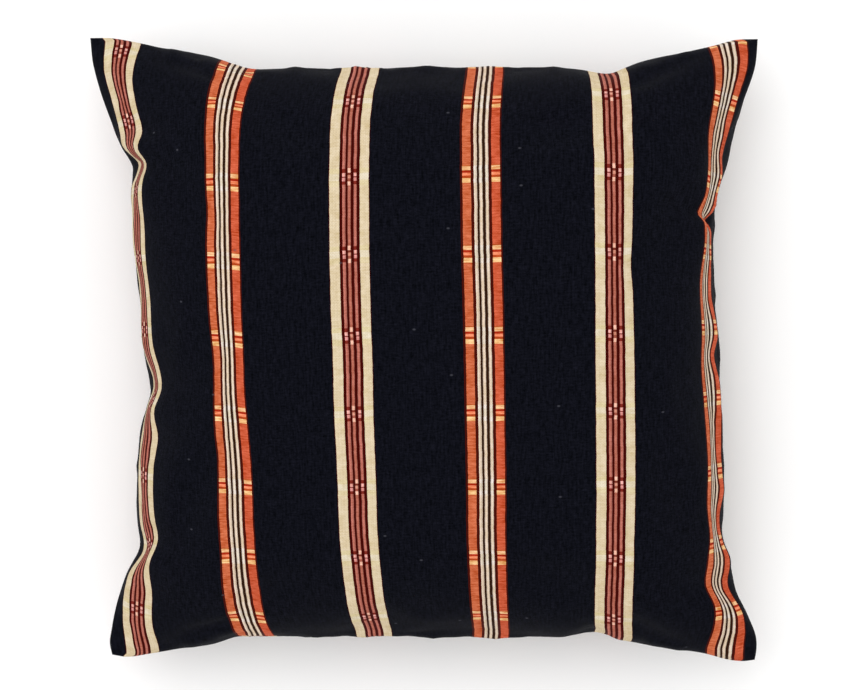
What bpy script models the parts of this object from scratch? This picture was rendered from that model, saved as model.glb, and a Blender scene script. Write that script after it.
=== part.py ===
# Square throw pillow lying on its back: one filled body, two woven panels sewn round the edge.
# Metres, +Z up, the front panel faces up. X runs along the pillow's top edge, Y up its face.
# The origin is under the middle of the pillow, on the surface that its back rests on.

import bpy
import bmesh
import numpy as np
from math import pi

MM = 0.001

# Heights
REST_HEIGHT = 72 * MM       # seam above the surface, along the straight part of each side
FRONT_CROWN = 86 * MM       # front panel above the seam at the middle
BACK_CROWN = 84 * MM        # back panel below the seam before its weight flattens it
REST_BLEND = 5 * MM         # roll from the flat patch into the round of the back
SEAM_THICKNESS = 2.4 * MM   # two turned-in layers of cloth at the stitched edge
CORNER_DROOP = 9 * MM       # how far the empty corner points sag

# Profile of the stuffing: a broad level face that rolls over into steep flanks
FLATNESS = 3.8              # power across the face
ROUNDNESS = 0.54            # power of the roll to the seam
EAR_SLIMNESS = 0.4          # share of height that the corners lose
EAR_SPREAD = 3.0            # power that keeps this loss near the corners

# Cells along each side of a panel, closer together near the seam
CELLS = 48

# Corner points of the seam, from the middle of the pillow
CORNERS = {
    "top_left": (-248.2 * MM, 231.9 * MM),
    "top_right": (248.6 * MM, 231.1 * MM),
    "bottom_left": (-231.9 * MM, -227.0 * MM),
    "bottom_right": (246.3 * MM, -230.8 * MM),
}

# Sides of the seam, each from its first corner to its last: the inset from the straight line
# between them. Columns: place along the side (share of its length), inset (mm)
SIDES = {
    "left": ("top_left", "bottom_left", (
        (0.00, 0.0), (0.04, 1.4), (0.08, 5.4), (0.15, 15.8), (0.20, 23.6), (0.25, 26.8),
        (0.35, 26.8), (0.43, 30.4), (0.55, 31.4), (0.65, 27.2), (0.75, 23.0), (0.82, 21.4),
        (0.88, 11.0), (0.92, 4.6), (0.96, 0.2), (0.98, -1.4), (1.00, 0.0),
    )),
    "right": ("top_right", "bottom_right", (
        (0.00, 0.0), (0.04, 1.6), (0.10, 10.6), (0.15, 18.2), (0.20, 23.0), (0.25, 29.4),
        (0.30, 33.0), (0.36, 33.2), (0.46, 29.2), (0.60, 26.6), (0.72, 24.6), (0.80, 23.2),
        (0.85, 18.4), (0.89, 13.4), (0.93, 5.0), (0.965, -1.0), (0.985, -1.2), (1.00, 0.0),
    )),
    "top": ("top_left", "top_right", (
        (0.00, 0.0), (0.03, 0.2), (0.065, 3.0), (0.11, 8.2), (0.15, 11.2), (0.20, 16.4),
        (0.25, 23.2), (0.30, 23.6), (0.45, 23.4), (0.60, 22.8), (0.72, 23.0), (0.78, 24.6),
        (0.83, 16.8), (0.88, 11.4), (0.93, 5.6), (0.97, 0.6), (1.00, 0.0),
    )),
    "bottom": ("bottom_left", "bottom_right", (
        (0.00, 0.0), (0.02, -1.4), (0.06, 1.2), (0.11, 6.0), (0.16, 9.2), (0.20, 14.0),
        (0.25, 15.6), (0.35, 16.6), (0.55, 17.0), (0.70, 17.4), (0.76, 18.4), (0.81, 13.2),
        (0.86, 9.0), (0.92, 4.8), (0.96, 0.0), (0.985, -1.0), (1.00, 0.0),
    )),
}

# Puckers, where the gathered cloth folds at the seam. The depth is negative for a ridge, and the
# lean is how far the fold moves along the side by the end of its reach. Lengths in mm.
PUCKER_COLUMNS = ("side", "place", "half_width", "depth", "reach", "lean")
PUCKERS = (
    ("left", 0.222, 11, 6.0, 85, 24),
    ("left", 0.290, 16, -3.0, 80, 0),
    ("left", 0.575, 14, 6.0, 90, 0),
    ("left", 0.650, 18, -3.0, 80, 0),
    ("left", 0.828, 12, 4.0, 80, -20),
    ("right", 0.250, 13, -4.5, 85, 20),
    ("right", 0.305, 12, 6.0, 85, 10),
    ("right", 0.430, 18, 3.0, 75, 0),
    ("right", 0.580, 14, 4.0, 80, 0),
    ("right", 0.798, 10, 4.5, 80, -14),
    ("right", 0.890, 12, 3.0, 70, -10),
    ("top", 0.225, 14, 3.5, 80, 14),
    ("top", 0.500, 22, -1.5, 60, 0),
    ("top", 0.775, 12, 4.0, 80, -12),
    ("bottom", 0.200, 13, 3.5, 80, 14),
    ("bottom", 0.420, 14, 1.5, 60, 0),
    ("bottom", 0.748, 11, 4.5, 80, -12),
)

# Cloth over which a fold turns from the plane of the seam to the face of the panel
SEAM_TURN = 25 * MM

# Direction from each side of the seam to the middle
INWARD = {"left": (1, 0, 0), "right": (-1, 0, 0), "top": (0, -1, 0), "bottom": (0, 1, 0)}

# Edges sharper than this are shaded as creases
SEAM_ANGLE = pi / 3

# Black cotton, linear colour
CLOTH_COLOUR = (0.0065, 0.0068, 0.0105, 1.0)
CLOTH_ROUGHNESS = 0.92


def curve_through(rows, places):
    # Smooth curve through the rows of a side, read at the given places
    known = np.array([row[0] for row in rows])
    values = np.array([row[1] for row in rows]) * MM
    slopes = np.gradient(values, known)
    left = np.clip(np.searchsorted(known, places) - 1, 0, len(known) - 2)
    span = known[left + 1] - known[left]
    t = (places - known[left]) / span
    start = (1 + 2 * t) * (1 - t) ** 2 * values[left] + t * (1 - t) ** 2 * span * slopes[left]
    end = t ** 2 * (3 - 2 * t) * values[left + 1] - t ** 2 * (1 - t) * span * slopes[left + 1]
    return start + end


def seam_side(name, places):
    # Plan points of one side of the seam, drawn in towards the middle of the pillow
    first, last, rows = SIDES[name]
    start = np.array(CORNERS[first])
    end = np.array(CORNERS[last])
    chord = end - start
    inward = np.array((chord[1], -chord[0])) / np.linalg.norm(chord)
    if np.dot(inward, -(start + end)) < 0:
        inward = -inward
    straight = start + places[:, None] * chord
    return straight + curve_through(rows, places)[:, None] * inward


def plan_grid(across, up):
    # Blend the four sides of the seam over the panel
    s = ((across + 1) / 2)[:, None, None]
    t = ((up + 1) / 2)[None, :, None]
    left = seam_side("left", 1 - t[0, :, 0])[None, :, :]
    right = seam_side("right", 1 - t[0, :, 0])[None, :, :]
    top = seam_side("top", s[:, 0, 0])[:, None, :]
    bottom = seam_side("bottom", s[:, 0, 0])[:, None, :]
    corner = {name: np.array(point) for name, point in CORNERS.items()}
    low = (1 - s) * corner["bottom_left"] + s * corner["bottom_right"]
    high = (1 - s) * corner["top_left"] + s * corner["top_right"]
    return (1 - s) * left + s * right + (1 - t) * bottom + t * top - (1 - t) * low - t * high


def fullness(across, up):
    # Share of the crown at each place: 0 along the seam, 1 at the middle
    x = np.abs(across)[:, None]
    y = np.abs(up)[None, :]
    swell = ((1 - x ** FLATNESS) * (1 - y ** FLATNESS)) ** ROUNDNESS
    return swell * (1 - EAR_SLIMNESS * (x * y) ** EAR_SPREAD)


def settle(depth):
    # Depth below the seam once the weight has flattened the back against the surface
    over = np.clip((depth - REST_HEIGHT + REST_BLEND) / (2 * REST_BLEND), 0, 1)
    rolled = REST_HEIGHT - REST_BLEND + 2 * REST_BLEND * (over - over ** 2 / 2)
    return np.where(depth < REST_HEIGHT - REST_BLEND, depth, rolled)


def ease(value):
    # Smooth step from 0 to 1
    value = np.clip(value, 0, 1)
    return value * value * (3 - 2 * value)


def corner_droop(across, up):
    # The empty corner points sag; the rest of the seam stays level
    corner = np.abs(across)[:, None] * np.abs(up)[None, :]
    return CORNER_DROOP * ease(2 * corner - 1)


def smooth_panel(across, up, face):
    # Panel without its puckers; face is 1 for the front panel and -1 for the back panel
    grid = np.zeros((len(across), len(up), 3))
    grid[:, :, :2] = plan_grid(across, up)
    full = fullness(across, up)
    if face > 0:
        rise = FRONT_CROWN * full + SEAM_THICKNESS / 2
    else:
        rise = -settle(BACK_CROWN * full + SEAM_THICKNESS / 2)
    grid[:, :, 2] = REST_HEIGHT + rise - corner_droop(across, up)
    return grid


def panel_normals(grid, face):
    # Outward direction of the panel at each grid point
    normal = np.cross(np.gradient(grid, axis=0), np.gradient(grid, axis=1)) * face
    return normal / np.maximum(np.linalg.norm(normal, axis=2, keepdims=True), 1e-9)


def distance_from(side, grid):
    # Length of cloth between the side's seam and each grid point
    axis = 0 if side in ("left", "right") else 1
    steps = np.linalg.norm(np.diff(grid, axis=axis), axis=2)
    run = np.concatenate((np.zeros_like(steps.take([0], axis)), np.cumsum(steps, axis)), axis)
    if side in ("left", "bottom"):
        return run
    return run.take([-1], axis) - run


def side_length(side):
    first, last, rows = SIDES[side]
    return np.linalg.norm(np.array(CORNERS[last]) - np.array(CORNERS[first]))


def along_side(side, across, up):
    # Share of the side's length at each grid point, from the side's first corner
    if side in ("left", "right"):
        share = (1 - up)[None, :] / 2
    else:
        share = (1 + across)[:, None] / 2
    return np.broadcast_to(share, (len(across), len(up)))


def pucker(grid, across, up, face):
    # Press every fold of the table into the panel, fading out over the flank
    normal = panel_normals(grid, face)
    moved = grid.copy()
    for row in PUCKERS:
        fold = dict(zip(PUCKER_COLUMNS, row))
        side = fold["side"]
        run = distance_from(side, grid)
        share = run / (fold["reach"] * MM)
        offset = (along_side(side, across, up) - fold["place"]) * side_length(side)
        offset = (offset - fold["lean"] * MM * share) / (fold["half_width"] * MM)
        press = fold["depth"] * MM * np.exp(-offset ** 2) * (1 - ease(share))
        turn = ease(run / SEAM_TURN)[:, :, None]
        way = (1 - turn) * np.array(INWARD[side]) - turn * normal
        way /= np.linalg.norm(way, axis=2, keepdims=True)
        moved += press[:, :, None] * way
    if face < 0:
        moved[:, :, 2] = np.maximum(moved[:, :, 2], 0)
    return moved


def panel_faces(bm, grid, face):
    # One panel as a grid of quads, facing out
    made = bmesh.ops.create_grid(bm, x_segments=CELLS, y_segments=CELLS, size=1.0)
    for vert in made["verts"]:
        i = round((vert.co.x + 1) / 2 * CELLS)
        j = round((vert.co.y + 1) / 2 * CELLS)
        vert.co = grid[i, j]
    faces = {link for vert in made["verts"] for link in vert.link_faces}
    if face < 0:
        bmesh.ops.reverse_faces(bm, faces=list(faces))


def make_cushion(material):
    # Front and back panels, joined by the narrow edge of the seam
    even = np.linspace(-1, 1, CELLS + 1)
    spread = np.sin(even * pi / 2)
    panels = {}
    for face in (1, -1):
        panels[face] = pucker(smooth_panel(spread, spread, face), spread, spread, face)
    every = np.concatenate((panels[1], panels[-1])).reshape(-1, 3)
    middle = (every.min(axis=0) + every.max(axis=0)) / 2
    middle[2] = 0

    mesh = bpy.data.meshes.new("cushion")
    bm = bmesh.new()
    for face, grid in panels.items():
        panel_faces(bm, grid - middle, face)
    rims = [edge for edge in bm.edges if edge.is_boundary]
    bmesh.ops.bridge_loops(bm, edges=rims)
    bmesh.ops.recalc_face_normals(bm, faces=bm.faces)
    bm.to_mesh(mesh)
    bm.free()
    mesh.shade_smooth()
    mesh.set_sharp_from_angle(angle=SEAM_ANGLE)
    mesh.materials.append(material)
    cushion = bpy.data.objects.new("cushion", mesh)
    bpy.context.scene.collection.objects.link(cushion)


def make_cotton():
    # Black handwoven cotton of the panels
    material = bpy.data.materials.new("black_handwoven_cotton")
    material.use_nodes = True
    shader = material.node_tree.nodes["Principled BSDF"]
    shader.inputs["Base Color"].default_value = CLOTH_COLOUR
    shader.inputs["Roughness"].default_value = CLOTH_ROUGHNESS
    shader.inputs["Metallic"].default_value = 0.0
    return material


for old in list(bpy.data.objects):
    bpy.data.objects.remove(old, do_unlink=True)
make_cushion(make_cotton())
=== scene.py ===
# Striped throw pillow on its back, seen from straight above its face.
# A square cover of handwoven cotton, black with two kinds of warp stripe, round a soft filling.
# Metres, +Z up. X runs along the pillow's top edge and Y up its face.

import math

import bpy
import numpy as np
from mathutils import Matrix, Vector


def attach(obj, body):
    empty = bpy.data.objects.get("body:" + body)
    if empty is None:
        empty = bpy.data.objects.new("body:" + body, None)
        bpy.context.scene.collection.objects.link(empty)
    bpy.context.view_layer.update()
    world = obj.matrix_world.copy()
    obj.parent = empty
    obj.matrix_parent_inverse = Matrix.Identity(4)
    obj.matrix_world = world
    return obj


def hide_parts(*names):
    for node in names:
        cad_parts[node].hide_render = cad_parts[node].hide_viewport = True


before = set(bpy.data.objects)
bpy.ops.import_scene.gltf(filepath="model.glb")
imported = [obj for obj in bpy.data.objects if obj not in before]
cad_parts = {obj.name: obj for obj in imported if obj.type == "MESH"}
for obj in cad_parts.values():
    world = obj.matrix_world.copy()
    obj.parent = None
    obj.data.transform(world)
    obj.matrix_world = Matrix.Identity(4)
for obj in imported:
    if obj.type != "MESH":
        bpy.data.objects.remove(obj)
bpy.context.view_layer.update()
mm = 0.001
tiny = 1e-9                     # keeps a division away from nothing

# The filled form, with the sizes of the solid that it replaces
pillowForm = {
    "restHeight": 72 * mm,      # seam above the floor
    "frontCrown": 86 * mm,
    "backCrown": 84 * mm,       # before the weight flattens it
    "restBlend": 5 * mm,
    "seamThickness": 2.4 * mm,
    "cornerDroop": 9 * mm,
    "flatness": 3.8,
    "roundness": 0.54,
    "earSlimness": 0.4,         # corners hold less filling
    "earSpread": 3.0,
    "seamTurn": 25 * mm,        # where a fold turns from the seam's plane to the face
    "corners": {
        "topLeft": (-248.2 * mm, 231.9 * mm),
        "topRight": (248.6 * mm, 231.1 * mm),
        "bottomLeft": (-231.9 * mm, -227.0 * mm),
        "bottomRight": (246.3 * mm, -230.8 * mm),
    },
    # first corner, last corner, then places along the side with the inset there in mm
    "sides": {
        "left": ("topLeft", "bottomLeft", (
            (0.00, 0.0), (0.04, 1.4), (0.08, 5.4), (0.15, 15.8), (0.20, 23.6), (0.25, 26.8),
            (0.35, 26.8), (0.43, 30.4), (0.55, 31.4), (0.65, 27.2), (0.75, 23.0), (0.82, 21.4),
            (0.88, 11.0), (0.92, 4.6), (0.96, 0.2), (0.98, -1.4), (1.00, 0.0),
        )),
        "right": ("topRight", "bottomRight", (
            (0.00, 0.0), (0.04, 1.6), (0.10, 10.6), (0.15, 18.2), (0.20, 23.0), (0.25, 29.4),
            (0.30, 33.0), (0.36, 33.2), (0.46, 29.2), (0.60, 26.6), (0.72, 24.6), (0.80, 23.2),
            (0.85, 18.4), (0.89, 13.4), (0.93, 5.0), (0.965, -1.0), (0.985, -1.2), (1.00, 0.0),
        )),
        "top": ("topLeft", "topRight", (
            (0.00, 0.0), (0.03, 0.2), (0.065, 3.0), (0.11, 8.2), (0.15, 11.2), (0.20, 16.4),
            (0.25, 23.2), (0.30, 23.6), (0.45, 23.4), (0.60, 22.8), (0.72, 23.0), (0.78, 24.6),
            (0.83, 16.8), (0.88, 11.4), (0.93, 5.6), (0.97, 0.6), (1.00, 0.0),
        )),
        "bottom": ("bottomLeft", "bottomRight", (
            (0.00, 0.0), (0.02, -1.4), (0.06, 1.2), (0.11, 6.0), (0.16, 9.2), (0.20, 14.0),
            (0.25, 15.6), (0.35, 16.6), (0.55, 17.0), (0.70, 17.4), (0.76, 18.4), (0.81, 13.2),
            (0.86, 9.0), (0.92, 4.8), (0.96, 0.0), (0.985, -1.0), (1.00, 0.0),
        )),
    },
    "inward": {"left": (1, 0, 0), "right": (-1, 0, 0), "top": (0, -1, 0), "bottom": (0, 1, 0)},
    # side, place along it, half width, depth (negative for a ridge), reach, lean, and the share
    # of the depth that is left at the stitches; lengths in mm
    "folds": (
        ("left", 0.213, 10, 4.0, 60, -8, 1.0), ("left", 0.575, 18, 6.5, 90, 0, 0.9),
        ("left", 0.650, 18, -2.0, 80, 0, 0.3), ("left", 0.828, 12, 4.0, 80, -20, 0.8),
        ("left", 0.340, 40, 2.4, 45, 0, 1.0), ("left", 0.460, 26, 2.2, 45, 0, 0.6),
        ("right", 0.243, 13, 2.5, 60, 0, 0.3), ("right", 0.430, 18, 2.5, 75, 0, 0.5),
        ("right", 0.580, 14, 3.5, 80, 0, 0.5), ("right", 0.798, 10, 4.5, 80, -14, 0.5),
        ("right", 0.890, 12, 2.5, 70, -10, 0.3), ("top", 0.225, 14, 3.0, 80, 14, 0.5),
        ("top", 0.500, 22, -1.5, 60, 0, 0.3), ("top", 0.775, 12, 3.5, 80, -12, 0.5),
        ("bottom", 0.200, 13, 3.0, 80, 14, 0.5), ("bottom", 0.420, 14, 1.5, 60, 0, 0.3),
        ("bottom", 0.748, 11, 4.0, 80, -12, 0.5),
    ),
    # creases of the face that are sharper than the cloth settles by itself, in the same columns
    "creases": (
        ("left", 0.182, 8, -2.5, 70, 0, 0.1), ("left", 0.205, 7, 3.0, 70, -4, 0.1),
        ("right", 0.262, 9, -4.0, 70, 0, 0.0), ("right", 0.290, 8, 4.0, 70, 0, 0.1),
    ),
    # tucks of the face, where cloth slides along the seam and laps over itself:
    # side, place, half width, slide, reach
    "tucks": (
        ("right", 0.270, 9, 11.0, 60), ("left", 0.190, 8, 5.0, 50), ("left", 0.835, 9, -4.0, 60),
    ),
    "foldRise": 18 * mm,        # cloth from the stitches to a fold's full depth
}

# Small gathers along each side of a panel. Half width, depth and reach are the most in mm and the
# least share of it that chance leaves.
gathers = {
    "count": 21,
    "seed": 7,
    "roam": 0.5,                # share of its own stretch in which a gather may lie
    "halfWidth": (7, 0.6),
    "depth": (3.4, 0.35),
    "reach": (38, 0.6),
    "lean": 8,                  # mm between the furthest leans
}


def ease(value):
    value = np.clip(value, 0, 1)
    return value * value * (3 - 2 * value)


def curveThrough(known, values, places):
    # smooth curve through a few values, held level beyond its ends
    slopes = np.gradient(values, known)
    places = np.clip(places, known[0], known[-1])
    left = np.clip(np.searchsorted(known, places) - 1, 0, len(known) - 2)
    span = known[left + 1] - known[left]
    t = (places - known[left]) / span
    start = (1 + 2 * t) * (1 - t) ** 2 * values[left] + t * (1 - t) ** 2 * span * slopes[left]
    end = t ** 2 * (3 - 2 * t) * values[left + 1] - t ** 2 * (1 - t) * span * slopes[left + 1]
    return start + end


def sideLength(side):
    first, last = pillowForm["sides"][side][:2]
    return math.dist(pillowForm["corners"][first], pillowForm["corners"][last])


def seamSide(side, places):
    # the sewn edge seen from above, drawn in between its corners
    first, last, rows = pillowForm["sides"][side]
    start = np.array(pillowForm["corners"][first])
    end = np.array(pillowForm["corners"][last])
    chord = end - start
    inward = np.array((chord[1], -chord[0])) / np.linalg.norm(chord)
    if np.dot(inward, -(start + end)) < 0:
        inward = -inward
    known, insets = np.array(rows).T
    inset = curveThrough(known, insets * mm, places)
    return start + places[..., None] * chord + inset[..., None] * inward


def planOf(across, up):
    # the four sewn edges blended over a panel
    s = ((across + 1) / 2)[..., None]
    t = ((up + 1) / 2)[..., None]
    edges = (1 - s) * seamSide("left", 1 - t[..., 0]) + s * seamSide("right", 1 - t[..., 0])
    edges += (1 - t) * seamSide("bottom", s[..., 0]) + t * seamSide("top", s[..., 0])
    corner = {name: np.array(point) for name, point in pillowForm["corners"].items()}
    low = (1 - s) * corner["bottomLeft"] + s * corner["bottomRight"]
    high = (1 - s) * corner["topLeft"] + s * corner["topRight"]
    return edges - (1 - t) * low - t * high


def fullness(across, up):
    # share of the crown: 0 along the seam, 1 in the middle
    x, y = np.abs(across), np.abs(up)
    swell = ((1 - x ** pillowForm["flatness"]) * (1 - y ** pillowForm["flatness"])).clip(0)
    ears = 1 - pillowForm["earSlimness"] * (x * y) ** pillowForm["earSpread"]
    return swell ** pillowForm["roundness"] * ears


def flattened(depth):
    # depth below the seam once the back lies flat on the floor
    rest, blend = pillowForm["restHeight"], pillowForm["restBlend"]
    over = np.clip((depth - rest + blend) / (2 * blend), 0, 1)
    rolled = rest - blend + 2 * blend * (over - over ** 2 / 2)
    return np.where(depth < rest - blend, depth, rolled)


def smoothPanel(across, up, face):
    # a panel without its folds; face is 1 for the front and -1 for the back
    points = np.zeros(across.shape + (3,))
    points[..., :2] = planOf(across, up)
    full = fullness(across, up)
    edge = pillowForm["seamThickness"] / 2
    if face > 0:
        rise = pillowForm["frontCrown"] * full + edge
    else:
        rise = -flattened(pillowForm["backCrown"] * full + edge)
    droop = pillowForm["cornerDroop"] * ease(2 * np.abs(across * up) - 1)
    points[..., 2] = pillowForm["restHeight"] + rise - droop
    return points


def panelNormals(points, face):
    normal = np.cross(np.gradient(points, axis=0), np.gradient(points, axis=1)) * face
    return normal / np.maximum(np.linalg.norm(normal, axis=2, keepdims=True), tiny * mm)


def threadLength(points, axis):
    # length of cloth from the first point of each thread
    steps = np.linalg.norm(np.diff(points, axis=axis), axis=2)
    return np.concatenate((np.zeros_like(steps.take([0], axis)), np.cumsum(steps, axis)), axis)


uprightSides = ("left", "right")


def runFrom(side, points):
    # length of cloth from a side's seam
    axis = 0 if side in uprightSides else 1
    run = threadLength(points, axis)
    return run if side in ("left", "bottom") else run.take([-1], axis) - run


def alongSide(side, across, up, place):
    # how far each point of a panel lies from a place on a side, along that side
    share = (1 - up) / 2 if side in uprightSides else (1 + across) / 2
    return (share - place) * sideLength(side)


def foldedPanel(points, across, up, face, folds):
    # presses each fold of the table into the panel, fading over the flank
    normal = panelNormals(points, face)
    moved = points.copy()
    for side, place, halfWidth, depth, reach, lean, grip in folds:
        run = runFrom(side, points)
        share = run / (reach * mm)
        offset = alongSide(side, across, up, place) - lean * mm * share
        press = depth * mm * np.exp(-(offset / (halfWidth * mm)) ** 2) * (1 - ease(share))
        press *= grip + (1 - grip) * ease(run / pillowForm["foldRise"])
        turn = ease(run / pillowForm["seamTurn"])[..., None]
        way = (1 - turn) * np.array(pillowForm["inward"][side]) - turn * normal
        way /= np.linalg.norm(way, axis=2, keepdims=True)
        moved += press[..., None] * way
    return moved


def seamGathers(face):
    # hollows and ridges by turns, each a little different from the next, as rows of folds
    chance = np.random.default_rng(gathers["seed"] + face)
    roam = gathers["roam"]

    def chosen(name, draw):
        most, least = gathers[name]
        return most * (least + (1 - least) * draw)

    rows = []
    for side in pillowForm["sides"]:
        for k in range(gathers["count"]):
            wander, width, depth, reach, lean = chance.random(5)
            place = (k + (1 - roam) / 2 + roam * wander) / gathers["count"]
            press = chosen("depth", depth) * (1 if k % 2 else -1)
            rows.append((side, place, chosen("halfWidth", width), press, chosen("reach", reach),
                         gathers["lean"] * (lean - 0.5), 0.0))
    return rows


def lappedPanel(points, across, up, tucks):
    # slides cloth along a side, so that a ridge laps over the hollow beside it
    moved = points.copy()
    for side, place, halfWidth, slide, reach in tucks:
        run = runFrom(side, points)
        offset = alongSide(side, across, up, place) / (halfWidth * mm)
        push = slide * mm * np.exp(-offset ** 2) * (1 - ease(run / (reach * mm)))
        push *= ease(run / pillowForm["foldRise"])
        if side in uprightSides:
            moved[..., 1] -= push
        else:
            moved[..., 0] += push
    return moved


# The cloth before it is sewn and filled
cover = {
    "flatSide": 508 * mm,       # a 20 inch cover
    "cells": 192,               # along each side of a panel
    "edgeCrowding": 0.5,        # closer rows near the seam
    "combing": 12,              # rounds that space the threads evenly
    "seamDepth": 1.8 * mm,      # how deep the stitched line lies between the two panels
    "seamAllowance": 1.5 * mm,  # cloth that turns in as far as the stitches
}


def clothPlaces():
    # shares of the flat side, closer together near the seam
    even = np.linspace(-1, 1, cover["cells"] + 1)
    return even + cover["edgeCrowding"] * np.sin(even * math.pi) / math.pi


def combedThreads(places, face):
    # the form's own coordinates at which every thread keeps an even spacing
    across, up = np.meshgrid(places, places, indexing="ij")
    count = len(places)
    for _ in range(cover["combing"]):
        points = smoothPanel(across, up, face)
        acrossRun = threadLength(points, 0)
        upRun = threadLength(points, 1)
        newAcross, newUp = across.copy(), up.copy()
        for k in range(count):
            lengths = acrossRun[:, k] / acrossRun[-1, k] * 2 - 1
            newAcross[:, k] = np.interp(places, lengths, across[:, k])
            lengths = upRun[k] / upRun[k, -1] * 2 - 1
            newUp[k] = np.interp(places, lengths, up[k])
        across, up = (across + newAcross) / 2, (up + newUp) / 2
    across[0], across[-1] = -1, 1
    up[:, 0], up[:, -1] = -1, 1
    return across, up


# Settling the cloth: it was cut flat and square, so its spare length gathers into soft folds
settling = {
    "step": 2,                  # the coarse cloth takes every second thread of the cover
    "frames": 30,
    "pressure": 8,
    "stretch": 200,
    "shear": 5,
    "bend": 4,
    "mass": 0.15,
    "quality": 8,
    "cap": 9 * mm,              # furthest that a place may move
    "broadWidth": 40 * mm,      # swelling wider than this is part of the form already
    "broadShare": 0.8,          # how much of it is taken out
    "rimWidth": 20 * mm,
}


def panelRim(count):
    # index pairs round a panel, anticlockwise from the lower left corner
    last = count - 1
    rim = [(i, 0) for i in range(last)] + [(last, j) for j in range(last)]
    return rim + [(i, last) for i in range(last, 0, -1)] + [(0, j) for j in range(last, 0, -1)]


def quadRows(number):
    # the four corners of every cell of a grid of numbers, anticlockwise from above
    return np.stack((number[:-1, :-1], number[1:, :-1], number[1:, 1:], number[:-1, 1:]),
                    axis=2).reshape(-1, 4)


def finer(grid):
    # twice as many cells, each new point on a smooth curve through its four neighbours
    for axis in (0, 1):
        grid = np.swapaxes(grid, 0, axis)
        padded = np.concatenate((2 * grid[:1] - grid[1:2], grid, 2 * grid[-1:] - grid[-2:-1]))
        between = (9 * (padded[1:-2] + padded[2:-1]) - padded[:-3] - padded[3:]) / 16
        both = np.zeros((2 * len(grid) - 1,) + grid.shape[1:])
        both[::2], both[1::2] = grid, between
        grid = np.swapaxes(both, 0, axis)
    return grid


def evened(values, places, width):
    # running mean with a bell weight
    bell = np.exp(-((places[:, None] - places[None, :]) / width) ** 2)
    return (bell / bell.sum(axis=1, keepdims=True)) @ values


def settlingCloth(panels, places):
    # a coarse copy of the cover, worn as it is formed and cut flat and square
    step = settling["step"]
    front, back = panels[1][::step, ::step], panels[-1][::step, ::step]
    flatPlaces = places[::step] * cover["flatSide"] / 2
    count = len(flatPlaces)
    rows, columns = np.array(panelRim(count)).T
    frontNumber = np.arange(count * count).reshape(count, count)
    inside = np.ones((count, count), bool)
    inside[rows, columns] = False
    backNumber = frontNumber.copy()
    backNumber[inside] = count * count + np.arange(inside.sum())
    worn = front.copy()
    worn[rows, columns] = (front[rows, columns] + back[rows, columns]) / 2
    worn = np.concatenate((worn.reshape(-1, 3), back[inside]))
    flat = np.zeros((count, count, 3))
    flat[..., 0], flat[..., 1] = np.meshgrid(flatPlaces, flatPlaces, indexing="ij")
    flat[..., 2] = pillowForm["restHeight"]
    flat = np.concatenate((flat.reshape(-1, 3), flat[inside]))

    mesh = bpy.data.meshes.new("settlingCloth")
    faces = np.concatenate((quadRows(frontNumber), quadRows(backNumber)[:, ::-1]))
    mesh.from_pydata(worn.tolist(), [], faces.tolist())
    cloth = bpy.data.objects.new("settlingCloth", mesh)
    bpy.context.scene.collection.objects.link(cloth)
    cloth.vertex_groups.new(name="seam").add(frontNumber[rows, columns].tolist(), 1.0, "REPLACE")
    cloth.shape_key_add(name="worn")
    cut = cloth.shape_key_add(name="cutFlat")
    cut.data.foreach_set("co", flat.ravel())
    return cloth, worn, inside


def settledPoints(cloth):
    # steps the cloth through its simulation and gives its points at the end
    modifier = cloth.modifiers.new("settling", "CLOTH")
    modifier.collision_settings.use_collision = False
    modifier.point_cache.frame_end = settling["frames"] + 1
    rules = modifier.settings
    rules.quality = settling["quality"]
    rules.mass = settling["mass"]
    rules.tension_stiffness = rules.compression_stiffness = settling["stretch"]
    rules.shear_stiffness = settling["shear"]
    rules.bending_model = "LINEAR"
    rules.bending_stiffness = settling["bend"]
    rules.use_pressure = True
    rules.uniform_pressure_force = settling["pressure"]
    rules.vertex_group_mass = "seam"
    rules.effector_weights.gravity = 0
    rules.rest_shape_key = cloth.data.shape_keys.key_blocks["cutFlat"]
    for number in range(1, settling["frames"] + 1):
        bpy.context.scene.frame_set(number)
    settledCloth = cloth.evaluated_get(bpy.context.evaluated_depsgraph_get())
    points = np.zeros(len(cloth.data.vertices) * 3)
    settledCloth.data.vertices.foreach_get("co", points)
    bpy.context.scene.frame_set(1)
    return points.reshape(-1, 3)


def withoutSwelling(move, flatPlaces):
    # takes most of a panel's broad swelling out again, because the form holds it already
    fromRim = np.minimum(flatPlaces - flatPlaces[0], flatPlaces[-1] - flatPlaces)
    window = ease(fromRim / settling["rimWidth"])
    broad = move
    for _ in range(2):
        rowsFirst = evened(broad.reshape(len(broad), -1), flatPlaces, settling["broadWidth"])
        broad = np.swapaxes(rowsFirst.reshape(broad.shape), 0, 1)
    share = settling["broadShare"] * window[:, None, None] * window[None, :, None]
    return move - share * broad


def settledPanels(panels, places):
    # lets the sewn and filled cloth move under pressure, with its seam held
    cloth, worn, inside = settlingCloth(panels, places)
    move = settledPoints(cloth) - worn
    bpy.data.objects.remove(cloth)
    far = np.linalg.norm(move, axis=1, keepdims=True)
    move *= np.tanh(far / settling["cap"]) * settling["cap"] / np.maximum(far, tiny)
    count = len(inside)
    backMove = np.zeros((count, count, 3))
    backMove[inside] = move[count * count:]
    moves = {1: move[:count * count].reshape(count, count, 3), -1: backMove}
    flatPlaces = places[::settling["step"]] * cover["flatSide"] / 2
    return {face: panels[face] + finer(withoutSwelling(moves[face], flatPlaces)) for face in moves}


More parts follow.
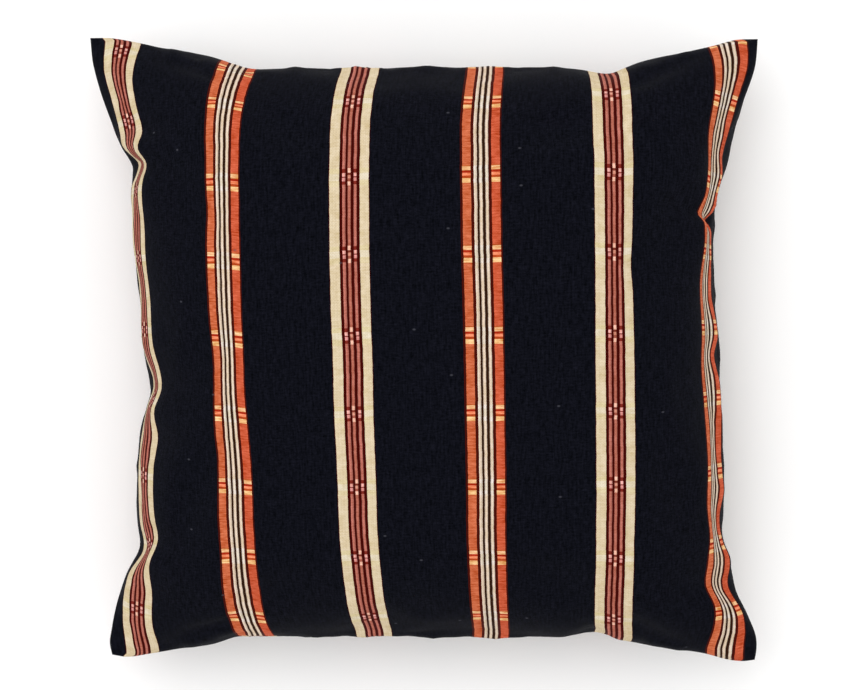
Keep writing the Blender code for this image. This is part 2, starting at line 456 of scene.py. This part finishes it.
print("shaping the filled cover")
places = clothPlaces()
panels, threads = {}, {}
for face in (1, -1):
    threads[face] = combedThreads(places, face)
    smooth = smoothPanel(*threads[face], face)
    panels[face] = foldedPanel(smooth, *threads[face], face, pillowForm["folds"])
everyPoint = np.concatenate([panels[face].reshape(-1, 3) for face in panels])
middle = (everyPoint.min(axis=0) + everyPoint.max(axis=0)) / 2
middle[2] = 0
panels = {face: panels[face] - middle for face in panels}
print("letting the cloth settle")
panels = settledPanels(panels, places)
for face in (1, -1):
    panels[face] = foldedPanel(panels[face], *threads[face], face, seamGathers(face))
panels[1] = foldedPanel(panels[1], *threads[1], 1, pillowForm["creases"])
panels[1] = lappedPanel(panels[1], *threads[1], pillowForm["tucks"])
panels[-1][..., 2] = panels[-1][..., 2].clip(0)


# The camera looks straight down at the face, from where the photo was taken
cameraView = {
    "distance": 2.6,            # above the seam
    "seamPixel": 0.742 * mm,    # size of a pixel at the seam
    "width": 860,
    "height": 690,
    "middle": (424, 349.5),     # the pillow's middle in the picture
    "sensor": 36,
}
cameraPlace = np.array((
    (cameraView["width"] / 2 - cameraView["middle"][0]) * cameraView["seamPixel"],
    (cameraView["middle"][1] - cameraView["height"] / 2) * cameraView["seamPixel"],
    pillowForm["restHeight"] + cameraView["distance"],
))


def seenPlace(points):
    # where the camera sees a point, measured in the plane of the seam
    spread = cameraView["distance"] / (cameraPlace[2] - points[..., 2])
    return cameraPlace[:2] + (points[..., :2] - cameraPlace[:2]) * spread[..., None]


# Stripes and weft marks as they lie on the pillow. Weaver's measure: mm from the cloth's left and
# lower edges. Seen places: mm from the pillow's middle, read from above in the plane of the seam.
weave = {
    "yarn": 0.53,               # warp spacing, typical of such cloth
    "rib": 1.05,                # weft spacing, typical too
    "firstStripe": 17,          # yarns from the left seam to the first stripe
    "stripePitch": 173,         # yarns
    "stripeWidth": 54,          # yarns
    "firstMark": 47.0,          # mm from the lower seam to the lowest row of weft marks
    "markPitch": 55.6,          # mm
    # middle line of each stripe of the face: (height, place) from the top down, where it bends
    "stripeLines": {
        1: ((213, -136.5), (205, -141), (195, -145), (180, -148.5), (150, -150.5), (105, -150),
            (-25, -146), (-85, -141.5), (-175, -136), (-195, -132.5), (-205, -129), (-213, -124)),
        2: ((210, -46.5), (195, -51), (180, -53.5), (150, -55.5), (105, -55.5), (30, -54.5),
            (-85, -50.5), (-175, -45), (-195, -41.5), (-213, -36)),
        3: ((210, 45.5), (180, 42.5), (105, 42.5), (30, 44), (-85, 46), (-175, 47.5), (-205, 49.5)),
        4: ((210, 133.5), (195, 138.5), (180, 139.5), (150, 140.5), (30, 141.5), (-145, 142),
            (-205, 140.5)),
    },
    "furthestShift": 9,         # mm that a stripe may be moved on the cloth
    # heights of the nine rows of marks on each stripe, top row first
    "markHeights": {
        0: (222, 169.5, 118.5, 68, 15, -37, -93, -144.5, -192),
        1: (207, 183, 124.5, 66, 8, -48, -101.5, -153, -198),
        2: (None, 184.5, 128.5, 71, 10.5, -47.5, -102, -154.5, -198.5),
        3: (None, 184, 130.5, 71, 10.5, -47, -102, -154.5, -197.5),
        4: (None, 190, 131.5, 72.5, 12, -45.5, -100, -155, -200.5),
        5: (227.5, 184.5, 125, 72.5, 16.5, -36, -91, -144.5, -194),
    },
    # the two side stripes lie on the flanks and show how these fall: the outer and the inner edge
    # of each, as (height, place) too
    "flankLines": {
        "left": (
            ((228, -236.5), (205, -237), (190, -233), (160, -225.5), (151, -224), (138, -212),
             (132, -212.5), (122, -216.5), (102, -216.5), (75, -215.5), (50, -211.5), (0, -208),
             (-30, -201), (-38, -204), (-64, -209.5), (-125, -211), (-151, -209), (-165, -218.5),
             (-178, -222), (-205, -223), (-222, -220.5)),
            ((228, -209.5), (212, -215), (202, -216.5), (180, -213.5), (160, -209.5), (150, -213),
             (138, -206), (125, -209), (90, -207.5), (66, -206.5), (40, -203.5), (5, -201.5),
             (-30, -195), (-46, -200.5), (-64, -197.5), (-85, -200.5), (-125, -200), (-141, -197.5),
             (-160, -204), (-180, -202), (-205, -201.5), (-222, -196.5)),
        ),
        "right": (
            ((228, 239.5), (212, 240), (187, 233), (160, 225.5), (141, 221), (131, 221.5),
             (111, 217), (104, 216.5), (96, 208.5), (90, 212.5), (80, 213), (58, 213), (40, 213),
             (22, 216.5), (10, 218), (-4, 215), (-20, 218.5), (-90, 221), (-104, 222.5),
             (-124, 219), (-142, 221.5), (-156, 227), (-174, 225), (-198, 237), (-208, 238),
             (-222, 236.5)),
            ((228, 210.5), (213, 215.5), (200, 216.5), (160, 211.5), (126, 210.5), (113, 208.5),
             (106, 205), (100, 203), (96, 207.5), (88, 208.5), (50, 205), (10, 206.5), (-10, 206),
             (-40, 208), (-90, 211), (-118, 210.5), (-140, 212.5), (-158, 211), (-176, 209.5),
             (-190, 216), (-204, 216), (-222, 210)),
        ),
    },
    "flankEdges": {"left": (18, 70), "right": (934, 885)},  # yarns from the cloth's left edge
    # where the stripe's middle is seen, as a share of the way from its outer to its inner edge
    "flankMiddle": {
        "left": ((228, 0.47), (150, 0.47), (105, 0.38), (-130, 0.38), (-165, 0.47), (-222, 0.47)),
        "right": ((228, 0.52), (150, 0.53), (80, 0.58), (-120, 0.58), (-165, 0.52), (-222, 0.52)),
    },
    "flankFade": (30, 0.35),    # mm past the stripe, and the share of its move that is left there
    "flankReach": 105,          # mm of cloth from the seam to where the face keeps its shape
    "flankHold": 6,             # mm from the top and bottom seams over which the moves grow
    "flankSmoothing": 3,        # mm of cloth over which the flanks' moves are evened out
    "lineSmoothing": 12,        # mm of cloth over which a line is evened out
    "sideStripeHalf": 14,       # mm past a side stripe's middle, where the even places end
    "leastRise": 1e-6,          # keeps a measure rising where the cloth turns back under itself
}


def seenLine(rows, heights):
    # where a line is seen at these heights
    known, line = np.array(rows, float)[::-1].T
    return curveThrough(known, line, heights)


def warpPath(known, values, place):
    # values along the warp thread at one place, where known holds every point's place
    return np.array([np.interp(place, known[:, j], values[:, j]) for j in range(known.shape[1])])


def rising(values, places):
    # the same values without a fall, so that places can be read back from them
    return np.maximum.accumulate(values + weave["leastRise"] * places)


def drapedFlanks(points, even):
    # moves the flanks level with the floor until the side stripes' edges lie where they are seen
    flat = even[-1]
    held = ease(np.minimum(even, flat - even) / weave["flankHold"])
    seen = seenPlace(points) / mm
    acrossMm = np.repeat(even[:, None], len(even), axis=1)
    beyond, shareLeft = weave["flankFade"]
    draped = points.copy()
    for side, (outer, inner) in weave["flankLines"].items():
        near, far = (count * weave["yarn"] for count in weave["flankEdges"][side])
        known, moves = [0], [np.zeros(len(even))]
        for knot, cloth in enumerate((near, (near + far) / 2, far)):
            place = warpPath(acrossMm, seen[..., 0], cloth)
            height = warpPath(acrossMm, seen[..., 1], cloth)
            share = (0, seenLine(weave["flankMiddle"][side], height), 1)[knot]
            line = (1 - share) * seenLine(outer, height) + share * seenLine(inner, height)
            moves.append(evened(line - place, even, weave["flankSmoothing"]) * held)
            known.append(cloth if side == "left" else flat - cloth)
        known += [known[-1] + beyond, weave["flankReach"]]
        moves += [shareLeft * moves[-1], moves[0]]
        run = even if side == "left" else flat - even
        for j in range(len(even)):
            values = np.array([move[j] for move in moves])
            draped[:, j, 0] += curveThrough(np.array(known), values, run) * mm
    return draped


def stripeMiddle(stripe):
    # mm from the cloth's left edge
    return (weave["firstStripe"] + weave["stripePitch"] * stripe
            + weave["stripeWidth"] / 2) * weave["yarn"]


def stripeShifts(seen, even):
    # mm that each stripe of the face is moved on the cloth, along its length
    shifts = {}
    limit = weave["furthestShift"]
    for stripe, line in weave["stripeLines"].items():
        found = np.zeros(len(even))
        for j in range(len(even)):
            gap = seen[:, j, 0] - seenLine(line, seen[:, j, 1])
            found[j] = np.interp(0, rising(gap, even), even)
        shift = (stripeMiddle(stripe) - found).clip(-limit, limit)
        shifts[stripe] = evened(shift, even, weave["lineSmoothing"])
    return shifts


def markMoves(seen, across, even):
    # each stripe's middle, and mm that its marks are moved along it
    middles, moves = [], []
    for stripe, downward in weave["markHeights"].items():
        middle = stripeMiddle(stripe)
        path = rising(warpPath(across, seen[..., 1], middle), np.arange(len(even)))
        markPlaces = weave["firstMark"] + weave["markPitch"] * np.arange(len(downward))
        rows = [row for row in zip(downward[::-1], markPlaces) if row[0] is not None]
        heights, marks = np.array(rows).T
        known = np.interp(heights, path, even)
        middles.append(middle)
        moves.append(curveThrough(known, marks - known, even))
    return np.array(middles), np.array(moves)


def weaversPlaces(seen, even):
    # moves the even cloth coordinates until the stripes and marks lie where they are seen
    shifts = stripeShifts(seen, even)
    first = stripeMiddle(0) + weave["sideStripeHalf"]
    last = stripeMiddle(5) - weave["sideStripeHalf"]
    across = np.repeat(even[:, None], len(even), axis=1)
    for j in range(len(even)):
        shift = [shifts[stripe][j] for stripe in shifts]
        middles = [stripeMiddle(stripe) - shifts[stripe][j] for stripe in shifts]
        known = np.array([0.0, first, *middles, last, even[-1]])
        across[:, j] += curveThrough(known, np.array([0.0, 0.0, *shift, 0.0, 0.0]), even)

    middles, moves = markMoves(seen, across, even)
    up = np.repeat(even[None, :], len(even), axis=0)
    for j in range(len(even)):
        up[:, j] += curveThrough(middles, moves[:, j], even)
    return across, up


# Making the cover's mesh
def sewnCover(name, panels, weaver):
    # front and back panels, joined by the cloth that turns in to the stitches
    count = panels[1].shape[0]
    number = np.arange(count * count).reshape(count, count)
    rim = panelRim(count)
    rimNumbers = np.array([number[i, j] for i, j in rim])
    front, back = panels[1].reshape(-1, 3), panels[-1].reshape(-1, 3)
    line = (front[rimNumbers] + back[rimNumbers]) / 2
    ahead = np.roll(line, -1, axis=0) - np.roll(line, 1, axis=0)
    inward = np.stack((-ahead[:, 1], ahead[:, 0], np.zeros(len(line))), axis=1)
    inward /= np.linalg.norm(inward, axis=1, keepdims=True)
    stitched = line + inward * cover["seamDepth"]
    points = np.concatenate((front, back, stitched))

    allowance = cover["seamAllowance"] / cover["flatSide"]
    uvFront, uvBack = weaver[1].reshape(-1, 2), weaver[-1].reshape(-1, 2)
    outward = np.array([((i == count - 1) * 1.0 - (i == 0), (j == count - 1) * 1.0 - (j == 0))
                        for i, j in rim])
    mirrored = outward * np.array((-1, 1))
    uvs = np.concatenate((uvFront, uvBack, uvFront[rimNumbers] + outward * allowance,
                          uvBack[rimNumbers] + mirrored * allowance))

    total = count * count
    frontFaces = quadRows(number)
    backFaces = frontFaces[:, ::-1] + total
    stitchNumbers = 2 * total + np.arange(len(rim))
    nextRim, nextStitch = np.roll(rimNumbers, -1), np.roll(stitchNumbers, -1)
    frontLip = np.stack((rimNumbers, stitchNumbers, nextStitch, nextRim), axis=1)
    backLip = np.stack((stitchNumbers, rimNumbers + total, nextRim + total, nextStitch), axis=1)
    faces = np.concatenate((frontFaces, backFaces, frontLip, backLip))
    backLipUv = backLip.copy()
    backLipUv[:, (0, 3)] += len(rim)
    faceUvs = np.concatenate((frontFaces, backFaces, frontLip, backLipUv))

    mesh = bpy.data.meshes.new(name)
    mesh.from_pydata(points.tolist(), [], faces.tolist())
    layer = mesh.uv_layers.new(name="weave")
    layer.data.foreach_set("uv", uvs[faceUvs.ravel()].ravel())
    mesh.shade_smooth()
    piece = bpy.data.objects.new(name, mesh)
    bpy.context.scene.collection.objects.link(piece)
    return piece


def hexToLinear(code):
    # sRGB hex to linear colour
    values = [int(code[i:i + 2], 16) / 255 for i in (1, 3, 5)]
    linear = [v / 12.92 if v <= 0.04045 else ((v + 0.055) / 1.055) ** 2.4 for v in values]
    return (*linear, 1.0)


def addNode(tree, kind, inputs=(), output=0, stops=(), **settings):
    # adds a node and gives its output; inputs are plain values or the outputs that feed them, in
    # order or by name, and stops are the (place, hex colour) rows of a ramp with clean steps
    node = tree.nodes.new("ShaderNode" + kind)
    for name, value in settings.items():
        setattr(node, name, value)
    if stops:
        node.color_ramp.interpolation = "CONSTANT"
        while len(node.color_ramp.elements) < len(stops):
            node.color_ramp.elements.new(1.0)
        for stop, (place, colour) in zip(node.color_ramp.elements, stops):
            stop.position = place
            stop.color = hexToLinear(colour)
    named = inputs.items() if isinstance(inputs, dict) else enumerate(inputs)
    for name, value in named:
        if isinstance(value, bpy.types.NodeSocket):
            tree.links.new(value, node.inputs[name])
        else:
            node.inputs[name].default_value = value
    return node.outputs[output] if node.outputs else node


# Weft marks on the bands: (height from the middle of a mark in mm, colour from there up), and base
# where the band's own colour comes back
orangeMarks = (
    (-6.0, "#ebb77c"), (-2.8, "#b2441a"), (-1.0, "#f08a62"), (0.9, "#a92a10"), (2.8, "#ebb582"),
    (5.5, "#bc5a2c"), (6.4, "base"))
lineMarks = ((-6.2, "#ebdccd"), (-2.9, "#e4d4be"), (3.0, "#ebdccd"), (6.0, "base"))
creamMarks = ((-6.6, "#d8c79f"), (-2.6, "#ded0b4"), (2.2, "#d7c69c"), (5.8, "base"))
pinkMarks = (
    (-5.6, "#80291f"), (-3.1, "#e0938b"), (-0.8, "#8c3c35"), (0.1, "#f3aea3"),
    (2.6, "#80291f"), (5.3, "base"))
middleMarks = (
    (-6.2, "#f8bea6"), (-3.3, "#a35645"), (-1.3, "#da927c"), (1.0, "#7f3528"),
    (2.7, "#f8bea6"), (5.7, "base"))

# Threading charts of the two stripes. First the yarn between the bands, then for each band its
# colour, its places in yarns from the stripe's left edge, its weft marks and how uneven its dye is.
stripeCharts = {
    "orange": (
        "#450c04",
        ("#c86540", ((3, 14),), orangeMarks, "orangeChange"),
        ("#c75738", ((41, 52),), orangeMarks, "orangeChange"),
        ("#2f1709", ((21, 25), (29, 33)), (), "plainChange"),
        ("#e6cfb7", ((17, 21), (25, 29), (33, 37)), lineMarks, "plainChange"),
    ),
    "cream": (
        "#400300",
        ("#d8c5a3", ((1, 14), (40, 53)), creamMarks, "plainChange"),
        ("#bf7162", ((17, 21), (33, 37)), pinkMarks, "pinkChange"),
        ("#b86b59", ((25, 29),), middleMarks, "pinkChange"),
    ),
}
# painted shade: the outer yarns of each fine line sink between their neighbours and take less
# light, so their colour is darkened
sunkYarns = (17, 20, 25, 28, 33, 36)
sunkShade = "#e2e2e2"

# The dye, the spinning, the painted shade of the weave and the finish
cotton = {
    "blackDeep": "#010206",     # black ground where the dye is fullest
    "blackWorn": "#13141e",     # and where the picks show through
    # changes of the wear for each mm, across and up: in lines along the picks and along the yarns
    "crossWear": (0.30, 0.75, 0),
    "uprightWear": (0.70, 0.12, 0),
    "wearRange": (0.62, 1.42),
    "wander": 0.8,              # mm between the furthest strays of the warp
    "wanderPace": (0.06, 0.16, 0),  # changes of them for each mm
    "yarnChange": 0.05,         # lightness from yarn to yarn
    "slubLength": 9,            # mm of yarn between its thick and thin places
    "slubSpread": 0.71,         # how little slubs follow each other from yarn to yarn
    "slubChange": 0.10,
    "pickLength": 7,            # mm that the fine line of a pick runs before it fades
    "fadePatch": 9,             # mm across the patches where the dye has faded
    # how much a pick changes red, green and blue, and how much more a faded patch does
    "orangeChange": ((0.76, 1.5, 2.3), 0.7),
    "pinkChange": ((0.5, 0.75, 0.95), 1.0),
    "plainChange": ((0.24, 0.3, 0.5), 1.6),
    "blackChange": ((0.8, 0.7, 0.6), 0.7),
    "lint": "#4c4c54",
    "lintSpacing": 15,          # mm
    "lintPace": 0.6,            # below 1 a fibre is drawn out across the cloth
    "lintSize": (0.02, 0.06),   # solid core and faint end of a fibre, as shares of the spacing
    "lintCover": 0.5,
    "lintShare": 0.05,          # share of those places that hold a fibre
    "beadRoundness": 0.5,
    # painted highlight and shade in the colour: a thread's back is lightened, the cloth between
    # threads darkened
    "paintedBeadShade": (1.1, 0.62),   # light that a thread's back gains, and light between the threads
    "relief": 0.22 * mm,
    "reliefStrength": 0.5,
    "roughness": 0.9,
    "specular": 0.04,
    "ior": 1.5,
    "sheen": 0.03,
    "sheenRoughness": 0.4,
}


def laidThreads(tree):
    # where a point lies on the flat cloth, in mm, yarns and picks, and within its patterns
    pitch, marks = weave["stripePitch"], weave["markPitch"]
    flat = addNode(tree, "UVMap", uv_map="weave")
    flatMm = addNode(tree, "VectorMath", {
        "Vector": flat, "Scale": cover["flatSide"] / mm}, operation="SCALE")
    upMm = addNode(tree, "SeparateXYZ", [flatMm], 1)
    straight = upMm.node.outputs[0]
    paced = addNode(tree, "VectorMath", [flatMm, cotton["wanderPace"]], operation="MULTIPLY")
    wander = addNode(tree, "TexNoise", {"Vector": paced, "Scale": 1, "Detail": 3})
    wander = addNode(tree, "Math", [wander, 0.5], operation="SUBTRACT")
    acrossMm = addNode(tree, "Math", [wander, cotton["wander"], straight],
                       operation="MULTIPLY_ADD")
    yarnCount = addNode(tree, "Math", [acrossMm, weave["yarn"]], operation="DIVIDE")
    yarn = addNode(tree, "Math", [yarnCount], operation="FLOOR")
    firstPlace = (0.5 - weave["firstStripe"]) / pitch   # counted at the middle of a yarn
    stripeCount = addNode(tree, "Math", [yarn, 1 / pitch, firstPlace], operation="MULTIPLY_ADD")
    stripePlace = addNode(tree, "Math", [stripeCount], operation="FRACT")
    stripe = addNode(tree, "Math", [stripeCount], operation="FLOOR")
    markCount = addNode(tree, "Math", [upMm, 1 / marks, 0.5 - weave["firstMark"] / marks],
                        operation="MULTIPLY_ADD")
    return {
        "flatMm": flatMm,
        "upMm": upMm,
        "straight": straight,
        "yarnCount": yarnCount,
        "yarn": yarn,
        "stripePlace": stripePlace,
        "isOrange": addNode(tree, "Math", [stripe, 2.0], operation="FLOORED_MODULO"),
        "inStripe": addNode(tree, "Math", [stripePlace, weave["stripeWidth"] / pitch],
                            operation="LESS_THAN"),
        "pickCount": addNode(tree, "Math", [upMm, weave["rib"]], operation="DIVIDE"),
        "markPlace": addNode(tree, "Math", [markCount], operation="FRACT"),
    }


def unevenDye(tree, laid):
    # picks lie unevenly and the dye has faded in soft patches
    pickAcross = addNode(tree, "Math", [laid["straight"], cotton["pickLength"]],
                         operation="DIVIDE")
    pickPlace = addNode(tree, "CombineXYZ", [pickAcross, laid["pickCount"]])
    pick = addNode(tree, "TexNoise", {
        "Vector": pickPlace, "Scale": 1, "Detail": 1, "Roughness": 0.5}, noise_dimensions="2D")
    patch = addNode(tree, "VectorMath", {
        "Vector": laid["flatMm"], "Scale": 1 / cotton["fadePatch"]}, operation="SCALE")
    fade = addNode(tree, "TexNoise", {
        "Vector": patch, "Scale": 1, "Detail": 3, "Roughness": 0.65}, noise_dimensions="2D")
    tints = {}
    for name in ("orangeChange", "pinkChange", "plainChange", "blackChange"):
        change, patchShare = cotton[name]
        uneven = addNode(tree, "Math", [fade, patchShare, pick], operation="MULTIPLY_ADD")
        uneven = addNode(tree, "Math", [uneven, 0.5 + patchShare / 2], operation="SUBTRACT")
        tints[name] = addNode(tree, "VectorMath", [uneven, change, (1, 1, 1)],
                              operation="MULTIPLY_ADD")
    return tints


def stripedYarns(tree, laid, tints):
    # the two kinds of stripe in whole yarns, with their weft marks
    pitch, marks = weave["stripePitch"], weave["markPitch"]
    stripes = {}
    for name, (ground, *bands) in stripeCharts.items():
        colour = hexToLinear(ground)
        for base, places, woven, change in bands:
            yarnColour = hexToLinear(base)[:3]
            if woven:
                stops = [(0.5 + at / marks, base if code == "base" else code) for at, code in woven]
                yarnColour = addNode(tree, "ValToRGB", [laid["markPlace"]],
                                     stops=[(0, base)] + stops)
            yarnColour = addNode(tree, "VectorMath", [tints[change], yarnColour],
                                 operation="MULTIPLY")
            stops = [(0, "#000000")]
            for start, end in places:
                stops += [(start / pitch, "#ffffff"), (end / pitch, "#000000")]
            band = addNode(tree, "ValToRGB", [laid["stripePlace"]], stops=stops)
            colour = addNode(tree, "Mix", {0: band, 6: colour, 7: yarnColour}, 2, data_type="RGBA")
        stripes[name] = colour
    striped = addNode(tree, "Mix", {
        0: laid["isOrange"], 6: stripes["cream"], 7: stripes["orange"]}, 2, data_type="RGBA")
    # painted shade on the sunk outer yarns, multiplied into the stripes' colour
    stops = [(0, "#ffffff")]
    for number in sunkYarns:
        stops += [(number / pitch, sunkShade), ((number + 1) / pitch, "#ffffff")]
    paintedSunkShade = addNode(tree, "ValToRGB", [laid["stripePlace"]], stops=stops)
    return addNode(tree, "VectorMath", [striped, paintedSunkShade], operation="MULTIPLY")


def blackGround(tree, laid, tints):
    # uneven black: crosswise where the picks show through, upright where a yarn is worn
    wear = []
    for pace, roughness in ((cotton["crossWear"], 0.7), (cotton["uprightWear"], 0.6)):
        paced = addNode(tree, "VectorMath", [laid["flatMm"], pace], operation="MULTIPLY")
        wear.append(addNode(tree, "TexNoise", {
            "Vector": paced, "Scale": 1, "Detail": 2, "Roughness": roughness},
            noise_dimensions="2D"))
    worn = addNode(tree, "Math", wear, operation="ADD")
    worn = addNode(tree, "MapRange", [worn, *cotton["wearRange"]])
    black = addNode(tree, "Mix", {
        0: worn, 6: hexToLinear(cotton["blackDeep"]), 7: hexToLinear(cotton["blackWorn"])}, 2,
        data_type="RGBA")
    return addNode(tree, "VectorMath", [tints["blackChange"], black], operation="MULTIPLY")


def spunLightness(tree, laid):
    # each yarn takes the dye a little differently, and is spun thick and thin
    yarnChange, slubChange = cotton["yarnChange"], cotton["slubChange"]
    chance = addNode(tree, "TexWhiteNoise", {"W": laid["yarn"]}, noise_dimensions="1D")
    slubAcross = addNode(tree, "Math", [laid["yarn"], cotton["slubSpread"]], operation="MULTIPLY")
    slubUp = addNode(tree, "Math", [laid["upMm"], cotton["slubLength"]], operation="DIVIDE")
    slubPlace = addNode(tree, "CombineXYZ", [slubAcross, slubUp])
    slub = addNode(tree, "TexNoise", {
        "Vector": slubPlace, "Scale": 1, "Detail": 3, "Roughness": 0.6}, noise_dimensions="2D")
    darkest = 1 - yarnChange - slubChange / 2
    lightness = addNode(tree, "Math", [chance, yarnChange * 2, darkest], operation="MULTIPLY_ADD")
    return addNode(tree, "Math", [slub, slubChange, lightness], operation="MULTIPLY_ADD")


def caughtLint(tree, laid):
    # short pale fibres caught on the cloth, here and there
    spacing = cotton["lintSpacing"]
    core, end = cotton["lintSize"]
    spaced = addNode(tree, "VectorMath", [
        laid["flatMm"], (cotton["lintPace"] / spacing, 1 / spacing, 0)], operation="MULTIPLY")
    fibre = addNode(tree, "TexVoronoi", {"Vector": spaced, "Scale": 1}, voronoi_dimensions="2D")
    near = addNode(tree, "MapRange", [fibre, core, end, cotton["lintCover"], 0.0])
    chance = addNode(tree, "SeparateColor", [fibre.node.outputs[1]])
    there = addNode(tree, "Math", [chance, cotton["lintShare"]], operation="LESS_THAN")
    return addNode(tree, "Math", [near, there], operation="MULTIPLY")


def wovenBeads(tree, laid):
    # each yarn rises over every second pick, and its neighbour over the picks between
    sideways = addNode(tree, "Math", [laid["yarnCount"], 0.5], operation="PINGPONG")
    halfPicks = addNode(tree, "Math", [laid["pickCount"], 0.5], operation="MULTIPLY")
    halfDrop = addNode(tree, "Math", [laid["yarn"], 0.5, halfPicks], operation="MULTIPLY_ADD")
    lengthways = addNode(tree, "Math", [halfDrop, 0.5], operation="PINGPONG")
    rounded = [addNode(tree, "Math", [way, cotton["beadRoundness"]], operation="POWER")
               for way in (sideways, lengthways)]
    return addNode(tree, "Math", rounded, operation="MULTIPLY")


def wovenCotton():
    # Handwoven warp-faced cotton: the dense warp hides the weft, so the colours stand in clean
    # upright bands that the picks bead into fine ribs, raised as bumps and also painted into the
    # colour as shade between the threads and highlight on their backs. Matt, with a faint bloom at
    # the edges.
    material = bpy.data.materials.new("handwovenWarpFacedCotton")
    material.use_nodes = True
    tree = material.node_tree
    tree.nodes.clear()
    laid = laidThreads(tree)
    tints = unevenDye(tree, laid)
    black = blackGround(tree, laid, tints)
    striped = stripedYarns(tree, laid, tints)
    dyed = addNode(tree, "Mix", {0: laid["inStripe"], 6: black, 7: striped}, 2, data_type="RGBA")
    bead = wovenBeads(tree, laid)
    # painted shade and highlight: the bead darkens the colour between the threads and lightens
    # their backs, besides the bump; the spun lightness is the yarns' own tone
    beadShadeAndSpin = addNode(tree, "Math", [bead, *cotton["paintedBeadShade"]], operation="MULTIPLY_ADD")
    beadShadeAndSpin = addNode(tree, "Math", [beadShadeAndSpin, spunLightness(tree, laid)], operation="MULTIPLY")
    shadedSpunDye = addNode(tree, "VectorMath", {"Vector": dyed, "Scale": beadShadeAndSpin}, operation="SCALE")
    colour = addNode(tree, "Mix", {
        0: caughtLint(tree, laid), 6: shadedSpunDye, 7: hexToLinear(cotton["lint"])}, 2, data_type="RGBA")
    bump = addNode(tree, "Bump", {
        "Strength": cotton["reliefStrength"], "Distance": cotton["relief"], "Height": bead})
    shader = addNode(tree, "BsdfPrincipled", {
        "Base Color": colour, "Roughness": cotton["roughness"], "IOR": cotton["ior"],
        "Specular IOR Level": cotton["specular"], "Sheen Weight": cotton["sheen"],
        "Sheen Roughness": cotton["sheenRoughness"], "Normal": bump})
    addNode(tree, "OutputMaterial", {"Surface": shader})
    return material


evenMm = (places + 1) / 2 * (cover["flatSide"] / mm)
print("draping the flanks")
panels[1] = drapedFlanks(panels[1], evenMm)
print("laying the stripes")
faceMm = weaversPlaces(seenPlace(panels[1]) / mm, evenMm)
even = (places + 1) / 2
weaver = {
    1: np.stack(faceMm, axis=2) / (cover["flatSide"] / mm),
    -1: np.stack(np.meshgrid(1 - even, even, indexing="ij"), axis=2),
}

print("sewing the cover")
cushionCover = sewnCover("stripedCover", panels, weaver)
cushionCover.data.materials.append(wovenCotton())
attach(cushionCover, "root")
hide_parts("cushion")


# Studio: white paper under an even sky, with one large soft light
studio = {
    "paper": "#fbfbfb",
    "paperGrain": 900,          # for each metre
    "paperRelief": 0.05 * mm,
    "reliefStrength": 0.08,
    "floorSize": 12,
    "skyStrength": 0.99,
    "keyPower": 38,
    "keySize": 3.2,
    "keyPlace": (-0.8, 0.8, 3.1),
}


def backgroundPaper():
    # Matt white background paper: even and without a gloss
    material = bpy.data.materials.new("mattWhiteBackgroundPaper")
    material.use_nodes = True
    tree = material.node_tree
    tree.nodes.clear()
    place = addNode(tree, "TexCoord", output=3)
    grain = addNode(tree, "TexNoise", {
        "Vector": place, "Scale": studio["paperGrain"], "Detail": 2})
    bump = addNode(tree, "Bump", {
        "Strength": studio["reliefStrength"], "Distance": studio["paperRelief"], "Height": grain})
    shader = addNode(tree, "BsdfPrincipled", {
        "Base Color": hexToLinear(studio["paper"]), "Roughness": 0.95, "Specular IOR Level": 0.1,
        "Normal": bump})
    addNode(tree, "OutputMaterial", {"Surface": shader})
    return material


def layPaper():
    half = studio["floorSize"] / 2
    mesh = bpy.data.meshes.new("paperFloor")
    mesh.from_pydata([(-half, -half, 0), (half, -half, 0), (half, half, 0), (-half, half, 0)],
                     [], [(0, 1, 2, 3)])
    mesh.materials.append(backgroundPaper())
    floor = bpy.data.objects.new("paperFloor", mesh)
    bpy.context.scene.collection.objects.link(floor)


def setLights():
    world = bpy.data.worlds.new("studio")
    world.use_nodes = True
    sky = world.node_tree.nodes["Background"]
    sky.inputs["Color"].default_value = (1, 1, 1, 1)
    sky.inputs["Strength"].default_value = studio["skyStrength"]
    bpy.context.scene.world = world

    keyLight = bpy.data.lights.new("softKey", "AREA")
    keyLight.shape = "DISK"
    keyLight.size = studio["keySize"]
    keyLight.energy = studio["keyPower"]
    key = bpy.data.objects.new("softKey", keyLight)
    key.location = studio["keyPlace"]
    key.rotation_euler = Vector(key.location).to_track_quat("Z", "Y").to_euler()
    bpy.context.scene.collection.objects.link(key)


def placeCamera():
    cameraData = bpy.data.cameras.new("camera")
    cameraData.sensor_width = cameraView["sensor"]
    cameraData.lens = cameraView["sensor"] * cameraView["distance"] / (
        cameraView["width"] * cameraView["seamPixel"])
    camera = bpy.data.objects.new("camera", cameraData)
    camera.location = cameraPlace.tolist()
    bpy.context.scene.collection.objects.link(camera)
    bpy.context.scene.camera = camera
    bpy.context.scene.view_settings.view_transform = "Standard"


print("setting the studio")
layPaper()
setLights()
placeCamera()

print("finishing")
